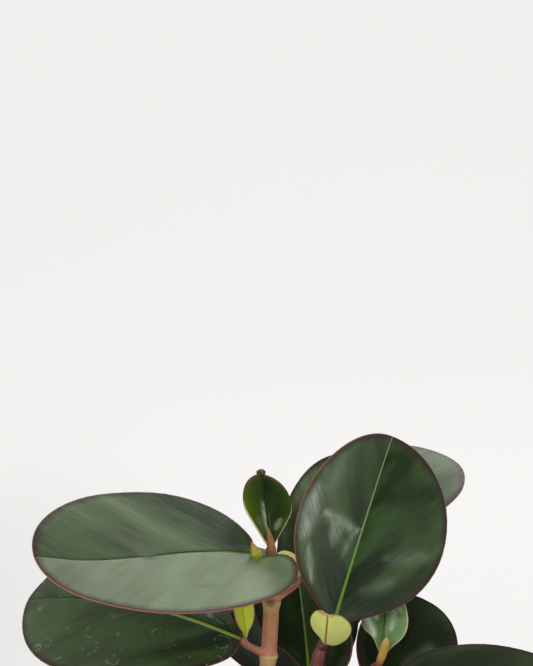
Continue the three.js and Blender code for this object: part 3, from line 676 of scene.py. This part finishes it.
def make_blade(leaf, slot, finish, seed):
    bm = lens_disc()
    layers = {name: bm.verts.layers.float.new(name)
              for name in ("from_rim", "from_rib", "to_tip", "underside", "bloom_and_sheen", "glint", "lit_rib",
                           "mark")}
    grain, flat = [bm.verts.layers.float_vector.new(name) for name in ("grain", "spot")]
    middle, edge = THICKNESS[slot]
    half = leaf.length / 2
    turn, foot = leaf_turn(leaf), leaf_foot(leaf)
    for vert in bm.verts:
        share = math.hypot(vert.co.x, vert.co.y)
        angle = math.atan2(vert.co.y, vert.co.x)
        angle -= SPOKE_SQUEEZE * math.sin(2 * angle)
        rim_along, rim_across = rim_point(leaf, angle)
        along, across = half + (rim_along - half) * share, rim_across * share
        to_tip = min(max(along / leaf.length, 0), 1)
        offset = vert.co.z * (middle + (edge - middle) * share * share)
        size = leaf.length / USUAL_LENGTH
        if vert.co.z > 0:
            depth, reach = GROOVE
            offset -= depth * size * math.exp(-(across / reach) ** 2) * (1 - 0.6 * to_tip)
        else:
            depth, reach = RIDGE
            offset -= depth * size * math.exp(-(across / reach) ** 2) * (1 - to_tip) ** 1.5
        offset += ripple(leaf, along, across, seed)
        point = surface_point(leaf, along, across) + face_direction(leaf, along, across) * offset
        vert[layers["from_rim"]] = (1 - share) * math.hypot(rim_along - half, rim_across)
        vert[layers["from_rib"]] = abs(across)
        vert[layers["to_tip"]] = to_tip
        vert[layers["underside"]] = 0.5 - vert.co.z
        # Bloom and painted sheen for this half, from the foot to the tip, with bands of painted sheen
        # and more painted sheen near the rim.
        half_blade = 0 if across > 0 else 1
        away = min(to_tip / BLOOM_AND_SHEEN_START, 1)
        bloom_and_sheen = leaf.foot_bloom_and_sheen[half_blade] * (1 - away) + leaf.bloom_and_sheen[half_blade] * away
        out = min(abs(across) / leaf.width * 3, 1)
        bloom_and_sheen *= leaf.rib_bloom_and_sheen * (1 - out) + out
        if across < 0:
            bloom_and_sheen += sum(strength * math.exp(-((along - VEIN_SLOPE * abs(across) - centre) / width) ** 2)
                         for centre, width, strength in leaf.sheen_bands)
        bloom_and_sheen += RIM_SHEEN * math.exp(-(vert[layers["from_rim"]] / RIM_SHEEN_REACH) ** 2)
        vert[layers["bloom_and_sheen"]] = bloom_and_sheen
        # Glints are painted highlights, and marks are painted shade, one of them a real scar.
        for layer, strokes in (("glint", leaf.glints), ("mark", leaf.shade_and_scar_marks)):
            vert[layers[layer]] = max([stroke(along, across, *each) for each in strokes], default=0)
        vert[layers["lit_rib"]] = min(max((leaf.rib + RIB_FADE - to_tip) / RIB_FADE, 0), 1)
        vert[grain] = (along - VEIN_SLOPE * abs(across), across, seed * 40)
        vert[flat] = (along, across, seed * 40)
        vert.co = (turn @ point + foot) * MM
    piece = finished_object(bm, f"{leaf.name}_blade", finish)
    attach(piece, "root")
    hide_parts(leaf.name)


# Leaves that lie in shade get the matt leaf with greens painted darker.
MATT_SHADED_LEAVES = ("leaf_inner_2", "leaf_inner_3", "leaf_middle_2", "leaf_right_1", "leaf_right_2")
SPECIAL_FINISHES = {"leaf_front_2": spotted_finish, "young_front_2": lime_finish,
                    "young_front_3": lime_finish, "young_middle_1": scarred_finish,
                    "young_right_1": fresh_finish, **dict.fromkeys(MATT_SHADED_LEAVES, matt_shaded_finish)}
LEAVES_BY_SLOT = (("leaf", GROWN_LEAVES, grown_finish), ("young_leaf", YOUNG_LEAVES, young_finish))
seed = 0
for slot, leaves, usual_finish in LEAVES_BY_SLOT:
    for leaf in leaves:
        make_blade(leaf, slot, SPECIAL_FINISHES.get(leaf.name, usual_finish), seed)
        seed += 1
print("blades:", seed)

# %% [markdown]
# A stem is a fleshy rod, swollen at each leaf joint, where a fine ring shows. A rod is a profile
# that is spun into a straight body and then bent along its path. The stem and its stalks are
# welded by a voxel remesh, which rounds the crotch between them as growth does, and the colour is
# told by attributes that are measured after it.

# %% Stems
ROOTED_DEPTH = 24
ROOT_SHARE = 0.9
SOIL_LEVEL = 101
STALK_RADIUS = {"leaf": 1.6, "young_leaf": 0.9}
THICK_STALKS = {"young_front_1": 2, "young_front_3": 1.2}
STALK_BEND = 0.8
STALK_EASE = 0.3
STEM_VOXEL = 0.42
STEM_SIDES, STEM_STEP = 24, 1
STALK_SIDES, STALK_STEP = 14, 0.8
SHOOT_THINNING = 0.3
SWELLING = (0.2, 3.2)
JOINT_RING = (0.3, 0.5)
REDNESS = {"front": 0, "middle": 1, "right": 1}
RED_ABOVE = 206
LEAF_SCAR = Vector((-8, -15.8, 193)) * MM


def smooth_path(points, step):
    """Points close together on a smooth curve through the given ones."""
    path = [points[0]]
    for place in range(len(points) - 1):
        before = points[max(place - 1, 0)]
        start, end = points[place], points[place + 1]
        after = points[min(place + 2, len(points) - 1)]
        span = (end - start).length
        lead_out = (end - before).normalized() * span / 3
        lead_in = (after - start).normalized() * span / 3
        count = max(int(span / step), 3) + 1
        path += geometry.interpolate_bezier(start, start + lead_out, end - lead_in, end, count)[1:]
    return path


def grow(bm, path, radius_at, sides):
    """Spins a rod with as many rings as the path has points, and bends it along the path."""
    last = len(path) - 1
    rings = [(0, 0)] + [(radius_at(place), place) for place in range(len(path))] + [(0, last)]
    corners, edges = line_of(bm, [(radius, 0, height) for radius, height in rings])
    for vert in spun(bm, corners + edges, sides, 1e-5):
        place = round(vert.co.z)
        tangent = path[min(place + 1, last)] - path[max(place - 1, 0)]
        turn = Vector((0, 0, 1)).rotation_difference(tangent)
        vert.co = path[place] + turn @ Vector((vert.co.x, vert.co.y, 0))


def stem_path(stem):
    lowest = Vector(stem.joints[0])
    rooted = Vector((lowest.x * ROOT_SHARE, lowest.y * ROOT_SHARE, SOIL_LEVEL - ROOTED_DEPTH))
    points = [rooted] + [Vector(point) for point in stem.joints + stem.shoot]
    return smooth_path(points, STEM_STEP)


def stem_radius(stem, point):
    """Swollen at the joints, with a fine ring, and thinner above the last joint."""
    top_joint = stem.joints[-1][2]
    radius = stem.radius
    if point.z > top_joint:
        radius *= 1 - SHOOT_THINNING * min((point.z - top_joint) / 2.5, 1)
    swelling, reach = SWELLING
    ring, ring_width = JOINT_RING
    for joint in stem.joints:
        away = point.z - joint[2]
        radius += stem.radius * swelling * max(0, 1 - abs(away) / reach) ** 1.3
        radius += ring * math.exp(-((away - 0.4) / ring_width) ** 2)
    return radius


def rounded_end(steps_left):
    """The share of the radius that is left this many millimetres below the stem's end."""
    return 0.5 + 0.5 * math.sqrt(min(steps_left / 3, 1))


def stalk_path(leaf):
    start = Vector(STEMS[leaf.stem].joints[leaf.joint])
    end = leaf_foot(leaf)
    arrival = leaf_turn(leaf) @ Vector((math.cos(STALK_BEND), 0, math.sin(STALK_BEND)))
    span = (end - start).length
    out = (end - start).normalized()
    count = max(int(span / STALK_STEP), 6)
    return geometry.interpolate_bezier(start, start + out * span * STALK_EASE,
                                       end - arrival * span * STALK_EASE, end, count)


def remeshed(bm, name, voxel):
    """The bmesh welded into one skin of small faces, as a new bmesh."""
    mesh = bpy.data.meshes.new(name)
    bm.to_mesh(mesh)
    bm.free()
    body = bpy.data.objects.new(name, mesh)
    bpy.context.scene.collection.objects.link(body)
    modifier = body.modifiers.new("weld", "REMESH")
    modifier.mode = "VOXEL"
    modifier.voxel_size = voxel
    welded = bmesh.new()
    welded.from_object(body, bpy.context.evaluated_depsgraph_get())
    bpy.data.objects.remove(body)
    bpy.data.meshes.remove(mesh)
    for _ in range(4):
        bmesh.ops.smooth_vert(welded, verts=welded.verts[:], factor=0.5, use_axis_x=True,
                              use_axis_y=True, use_axis_z=True)
    return welded


def make_stem(name, stem, finish):
    bm = bmesh.new()
    path = stem_path(stem)
    top = len(path) - 1
    grow(bm, path, lambda place: stem_radius(stem, path[place]) * rounded_end(top - place),
         STEM_SIDES)
    for slot, leaves, _ in LEAVES_BY_SLOT:
        for leaf in leaves:
            if leaf.stem != name:
                continue
            stalk = stalk_path(leaf)
            radius = THICK_STALKS.get(leaf.name, STALK_RADIUS[slot])
            share = len(stalk) - 1
            grow(bm, stalk, lambda place: radius * (1.3 - 0.35 * min(2 * place / share, 1)),
                 STALK_SIDES)
    bm = remeshed(bm, name, STEM_VOXEL)
    ring, stalkness = bm.verts.layers.float.new("ring"), bm.verts.layers.float.new("stalk")
    redness = bm.verts.layers.float.new("redness")
    joints = [Vector(joint) for joint in stem.joints]
    for vert in bm.verts:
        axis = min(path, key=lambda point: (point - vert.co).length_squared)
        out = (vert.co - axis).length
        vert[stalkness] = min(max((out - stem.radius * 1.3) / 2.5, 0), 1)
        nearest = min(joints, key=lambda joint: abs(vert.co.z - joint.z))
        vert[ring] = vert.co.z - nearest.z
        vert[redness] = 1 if vert.co.z > RED_ABOVE else REDNESS.get(name, 0.4)
    piece = finished_object(bm, f"stem_{name}_skin", finish, unit=MM)
    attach(piece, "root")
    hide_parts(f"stem_{name}")
    return piece


def stem_finish():
    material, tree, shader = new_material("stem_skin")
    place = places(tree)
    ring, stalk = attribute(tree, "ring"), attribute(tree, "stalk")
    streaks = noise_on(tree, place, (1100, 1100, 70), detail=3)
    patches = noise_on(tree, place, (120, 120, 60))
    colour = mixed(tree, spread(tree, streaks, 0.2, 0.8), srgb(196, 128, 92), srgb(222, 164, 120))
    colour = mixed(tree, spread(tree, patches, 0.45, 0.65, 0, 0.55), colour, srgb(178, 108, 84))
    tan = mixed(tree, streaks, srgb(198, 162, 100), srgb(226, 196, 134))
    below = maths(tree, "MULTIPLY", spread(tree, ring, -4.5, -1.5), spread(tree, ring, 1.6, 0.6))
    colour = mixed(tree, below, colour, tan)
    mark = maths(tree, "MULTIPLY", spread(tree, ring, 0.5, 0.9), spread(tree, ring, 1.7, 1.1))
    colour = mixed(tree, maths(tree, "MULTIPLY", mark, 0.35), colour, srgb(130, 84, 56))
    stalk_colour = mixed(tree, streaks, srgb(150, 84, 66), srgb(202, 142, 114))
    colour = mixed(tree, stalk, colour, stalk_colour)
    red = mixed(tree, streaks, srgb(84, 36, 32), srgb(124, 72, 60))
    colour = mixed(tree, attribute(tree, "redness"), colour, red)
    spot = add(tree, "ShaderNodeVectorMath", {0: place, 1: LEAF_SCAR}, operation="DISTANCE")
    away = maths(tree, "MULTIPLY", spot.outputs["Value"], 1 / MM)
    colour = mixed(tree, spread(tree, away, 2.4, 1.2, 0, 0.7), colour, srgb(150, 80, 64))
    tree.links.new(colour, shader.inputs["Base Color"])
    tree.links.new(spread(tree, streaks, 0.3, 0.7, 0.38, 0.52), shader.inputs["Roughness"])
    bumped(tree, shader, streaks, 0.2, 0.0003)
    return material


stem_skin = stem_finish()
for name, stem in STEMS.items():
    piece = make_stem(name, stem, stem_skin)
    print(piece.name, "faces:", len(piece.data.polygons))

# %% [markdown]
# Buds and rolled leaves stand at the tips of the shoots: slim spindles that are still closed. Each
# is a rod that swells and comes to a point, with a shallow seam where the rolled leaf overlaps.

# %% Buds
BUD_RINGS = 26
BUD_SIDES = 28
BUD_BOW = 0.06
SEAM_DEPTH = 0.16
CURLED_TIP = 1.9


def bud_shape(share, bluntness):
    return 0.8 + 0.9 * share * (1 - share) if share < 0.5 else 1.05 * (1 - share ** bluntness) + 0.02


def bud_finish(name, foot, skin, tip, streaked=0.35):
    material, tree, shader = new_material(name)
    height = attribute(tree, "to_tip")
    streaks = noise_on(tree, places(tree), (900, 900, 90))
    colour = mixed(tree, spread(tree, streaks, 0.3, 0.7, 0, streaked), skin, srgb(196, 184, 120))
    colour = mixed(tree, spread(tree, height, 0.7, 0.98), colour, tip)
    colour = mixed(tree, spread(tree, height, 0.5, 0.1), colour, foot)
    tree.links.new(colour, shader.inputs["Base Color"])
    shader.inputs["Roughness"].default_value = 0.4
    shader.inputs["Specular IOR Level"].default_value = 0.25
    bumped(tree, shader, streaks, 0.3, 0.0003)
    return material


def make_bud(name, start, end, radius, finish, bluntness):
    bm = bmesh.new()
    start, end = Vector(start), Vector(end)
    along = end - start
    bow = Vector((0, 0, 1)).cross(along).normalized() * BUD_BOW * along.length
    path = [start.lerp(end, place / BUD_RINGS) + bow * math.sin(math.pi * place / BUD_RINGS)
            for place in range(BUD_RINGS + 1)]
    grow(bm, path, lambda place: radius * max(bud_shape(place / BUD_RINGS, bluntness), 0.03),
         BUD_SIDES)
    height = bm.verts.layers.float.new("to_tip")
    for vert in bm.verts:
        share = (vert.co - start).dot(along) / along.length_squared
        axis = start + along * share
        out = vert.co - axis
        seam = math.exp(-((math.atan2(out.y, out.x) + 1.3 - share) / 0.22) ** 2)
        vert.co -= out * SEAM_DEPTH * seam
        vert[height] = share
    bmesh.ops.recalc_face_normals(bm, faces=bm.faces[:])
    piece = finished_object(bm, name, finish, unit=MM)
    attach(piece, "root")


def make_curled_tip(leaf, finish):
    """The tip of a young leaf, dried and rolled up to a knob."""
    bm = bmesh.new()
    bmesh.ops.create_uvsphere(bm, u_segments=24, v_segments=14, radius=CURLED_TIP)
    height = bm.verts.layers.float.new("to_tip")
    for vert in bm.verts:
        spot = vert.co / CURLED_TIP
        vert[height] = (spot.z + 1) / 2
        dent = math.exp(-((spot.x - 0.15) ** 2 + (spot.z - 0.1) ** 2) / 0.12) if spot.y < 0 else 0
        vert.co *= 1 + 0.12 * noise.noise(spot * 2) - 0.3 * dent
        vert.co.z *= 0.8
        vert.co += leaf_turn(leaf) @ surface_point(leaf, leaf.length + 0.6, 0) + leaf_foot(leaf)
    piece = finished_object(bm, f"{leaf.name}_curled_tip", finish, unit=MM)
    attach(piece, "root")


brown_bud = bud_finish("brown_bud", srgb(84, 32, 28), srgb(136, 82, 54), srgb(140, 112, 66), 0.2)
lime_bud = bud_finish("lime_bud", srgb(120, 128, 30), srgb(138, 144, 24), srgb(170, 70, 50))
tan_bud = bud_finish("tan_bud", srgb(126, 50, 42), srgb(196, 156, 72), srgb(206, 160, 104))
olive_bud = bud_finish("olive_bud", srgb(150, 92, 58), srgb(168, 150, 78), srgb(150, 156, 84))
BUD_KINDS = {"bud_front_1": (brown_bud, 2.6, 1), "bud_front_2": (lime_bud, 2, 1),
             "bud_right_1": (tan_bud, 9, 0.8)}
for name, stem in STEMS.items():
    for place, (start, end, radius) in enumerate(stem.buds):
        bud = f"bud_{name}_{place + 1}"
        finish, bluntness, girth = BUD_KINDS.get(bud, (olive_bud, 2.6, 1))
        make_bud(bud, start, end, radius * girth, finish, bluntness)
curled_finish = bud_finish("curled_tip", srgb(50, 60, 22), srgb(58, 60, 26), srgb(92, 80, 54), 0.1)
make_curled_tip(YOUNG_LEAVES[0], curled_finish)
print("buds:", sum(len(stem.buds) for stem in STEMS.values()))

# %% [markdown]
# The pot is thrown clay: a tapered wall with a thicker band under its lip and drain holes in its
# floor. One profile, spun once round, makes all of it, and a bevel rounds its edges. The holes are
# cut by short rods.

# %% The pot
POT_HEIGHT = 112
POT_TOP_RADIUS = 65
POT_FOOT_RADIUS = 46
POT_MOUTH_RADIUS = 57
POT_BOTTOM_RADIUS = 41.5
POT_FLOOR = 9
POT_BAND_HEIGHT = 24
POT_BAND_STEP = 3.5
POT_BAND_FLARE = 1
DRAIN_HOLES = 5
DRAIN_RADIUS = 4
DRAIN_CIRCLE = 27
POT_EDGE = 1.6


def clay_finish():
    material, tree, shader = new_material("fired_clay")
    place = places(tree)
    clouds = noise_on(tree, place, (22, 22, 30), detail=5)
    specks = noise_on(tree, place, (420, 420, 420), detail=2)
    rings = noise_on(tree, place, (6, 6, 480), detail=2)
    colour = mixed(tree, spread(tree, clouds, 0.3, 0.7), srgb(168, 92, 64), srgb(196, 122, 90))
    colour = mixed(tree, spread(tree, specks, 0.55, 0.8, 0, 0.5), colour, srgb(138, 74, 52))
    height = add(tree, "ShaderNodeSeparateXYZ", {0: place}).outputs["Z"]
    lime = noise_on(tree, place, (55, 55, 40), detail=6, roughness=0.7)
    low = maths(tree, "MULTIPLY", spread(tree, lime, 0.5, 0.72), spread(tree, height, 0.05, 0.0))
    colour = mixed(tree, maths(tree, "MULTIPLY", low, 0.5), colour, srgb(214, 190, 172))
    tree.links.new(colour, shader.inputs["Base Color"])
    tree.links.new(spread(tree, clouds, 0.3, 0.7, 0.78, 0.9), shader.inputs["Roughness"])
    relief = maths(tree, "ADD", specks, maths(tree, "MULTIPLY", rings, 1.5))
    bumped(tree, shader, relief, 0.35, 0.0005)
    return material


def wall_radius(foot, mouth, share):
    return foot + (mouth - foot) * share


def make_pot():
    under_band = POT_TOP_RADIUS - POT_BAND_FLARE - POT_BAND_STEP
    band_foot = POT_HEIGHT - POT_BAND_HEIGHT
    profile = [(0, 0), (POT_FOOT_RADIUS, 0), (under_band, band_foot),
               (under_band + POT_BAND_STEP, band_foot + 1.5), (POT_TOP_RADIUS, POT_HEIGHT),
               (POT_MOUTH_RADIUS, POT_HEIGHT), (POT_BOTTOM_RADIUS, POT_FLOOR), (0, POT_FLOOR)]
    bm = bmesh.new()
    corners, _ = line_of(bm, [(radius * MM, 0, height * MM) for radius, height in profile])
    bmesh.ops.bevel(bm, geom=corners[1:-1], offset=POT_EDGE * MM, offset_type="OFFSET", segments=4,
                    profile=0.5, affect="VERTICES", material=-1)
    spun(bm, bm.verts[:] + bm.edges[:], 144, 1e-7)
    bmesh.ops.recalc_face_normals(bm, faces=bm.faces[:])
    pot = finished_object(bm, "pot_wall", clay_finish())
    cutter_mesh = bmesh.new()
    for hole in range(DRAIN_HOLES):
        angle = math.tau * hole / DRAIN_HOLES
        made = bmesh.ops.create_cone(cutter_mesh, cap_ends=True, segments=32,
                                     radius1=DRAIN_RADIUS * MM, radius2=DRAIN_RADIUS * MM,
                                     depth=3 * POT_FLOOR * MM)
        spot = Vector((math.cos(angle), math.sin(angle), 0)) * DRAIN_CIRCLE * MM
        bmesh.ops.translate(cutter_mesh, verts=made["verts"], vec=spot)
    cutter = finished_object(cutter_mesh, "drain_cutter", pot.data.materials[0])
    cut = pot.modifiers.new("drains", "BOOLEAN")
    cut.object = cutter
    cut.solver = "EXACT"
    holed = bpy.data.meshes.new_from_object(pot.evaluated_get(bpy.context.evaluated_depsgraph_get()))
    pot.modifiers.clear()
    pot.data = holed
    bpy.data.objects.remove(cutter)
    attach(pot, "root")
    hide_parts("pot")
    return pot


pot = make_pot()
print("pot faces:", len(pot.data.polygons))

# %% [markdown]
# Soil fills the pot to a finger's width below the lip. Its top is a crumbly crust, so the
# spun body gets an uneven top, and several hundred crumbs lie on it, half sunk. They are drawn
# from one seed, so they lie the same way each time.

# %% The soil
SOIL_CROWN = 4
SOIL_RADIUS = 56
SOIL_GAP = 0.3
SOIL_RINGS = 44
CRUMB_REACH = 54
CRUMBS = 900
PERLITE = 46


def soil_finish(name, dark, light, roughness):
    material, tree, shader = new_material(name)
    place = places(tree)
    lumps = noise_on(tree, place, (260, 260, 260), detail=6, roughness=0.7)
    grit = noise_on(tree, place, (1500, 1500, 1500), detail=3)
    tree.links.new(mixed(tree, spread(tree, lumps, 0.3, 0.7), dark, light), shader.inputs["Base Color"])
    shader.inputs["Roughness"].default_value = roughness
    bumped(tree, shader, maths(tree, "ADD", lumps, grit), 0.8, 0.001)
    return material


def soil_height(x, y):
    """The height of the soil's top, in millimetres."""
    share = min(math.hypot(x, y) / SOIL_RADIUS, 1)
    crust = noise.noise(Vector((x, y, 3)) / 9) * 1.2 + noise.noise(Vector((x, y, 8)) / 3) * 0.7
    return SOIL_LEVEL - 1.2 + SOIL_CROWN * (1 - share * share) + crust


def soil_radius(height):
    share = (height - POT_FLOOR) / (POT_HEIGHT - POT_FLOOR)
    return wall_radius(POT_BOTTOM_RADIUS, POT_MOUTH_RADIUS, share) - SOIL_GAP


def make_soil(finish):
    bm = bmesh.new()
    bottom = POT_FLOOR + SOIL_GAP
    top_radius = soil_radius(SOIL_LEVEL)
    section = [(0, bottom), (soil_radius(bottom), bottom), (top_radius, SOIL_LEVEL)]
    section += [(top_radius * (1 - ring / SOIL_RINGS), SOIL_LEVEL + 1)
                for ring in range(1, SOIL_RINGS + 1)]
    corners, edges = line_of(bm, [(radius, 0, height) for radius, height in section])
    for vert in spun(bm, corners + edges, 160, 1e-5):
        if vert.co.z > SOIL_LEVEL - 1:
            vert.co.z = soil_height(vert.co.x, vert.co.y)
    bmesh.ops.recalc_face_normals(bm, faces=bm.faces[:])
    piece = finished_object(bm, "soil_body", finish, unit=MM)
    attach(piece, "root")
    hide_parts("soil")


def scatter_crumbs(name, count, smallest, largest, seed, finish):
    draw = random.Random(seed)
    bm = bmesh.new()
    for _ in range(count):
        reach = CRUMB_REACH * math.sqrt(draw.random())
        angle = draw.uniform(0, math.tau)
        x, y = reach * math.cos(angle), reach * math.sin(angle)
        size = smallest + (largest - smallest) * draw.random() ** 2
        made = bmesh.ops.create_icosphere(bm, subdivisions=1, radius=size)["verts"]
        for vert in made:
            vert.co *= 1 + 0.35 * draw.uniform(-1, 1)
        squash = (draw.uniform(0.7, 1.3), draw.uniform(0.7, 1.3), draw.uniform(0.5, 0.9))
        bmesh.ops.scale(bm, vec=squash, verts=made)
        turn = Euler([draw.uniform(0, math.tau) for _ in range(3)]).to_matrix()
        bmesh.ops.rotate(bm, verts=made, cent=(0, 0, 0), matrix=turn)
        bmesh.ops.translate(bm, verts=made, vec=(x, y, soil_height(x, y) + size * 0.25))
    piece = finished_object(bm, name, finish, smooth=False, unit=MM)
    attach(piece, "root")


peat = soil_finish("peat", srgb(34, 24, 18), srgb(70, 50, 36), 0.95)
make_soil(peat)
scatter_crumbs("soil_crumbs", CRUMBS, 0.5, 2.0, 5, peat)
perlite = soil_finish("perlite", srgb(196, 190, 178), srgb(226, 222, 212), 0.9)
scatter_crumbs("soil_perlite", PERLITE, 0.6, 1.3, 9, perlite)
print("crumbs:", CRUMBS + PERLITE)
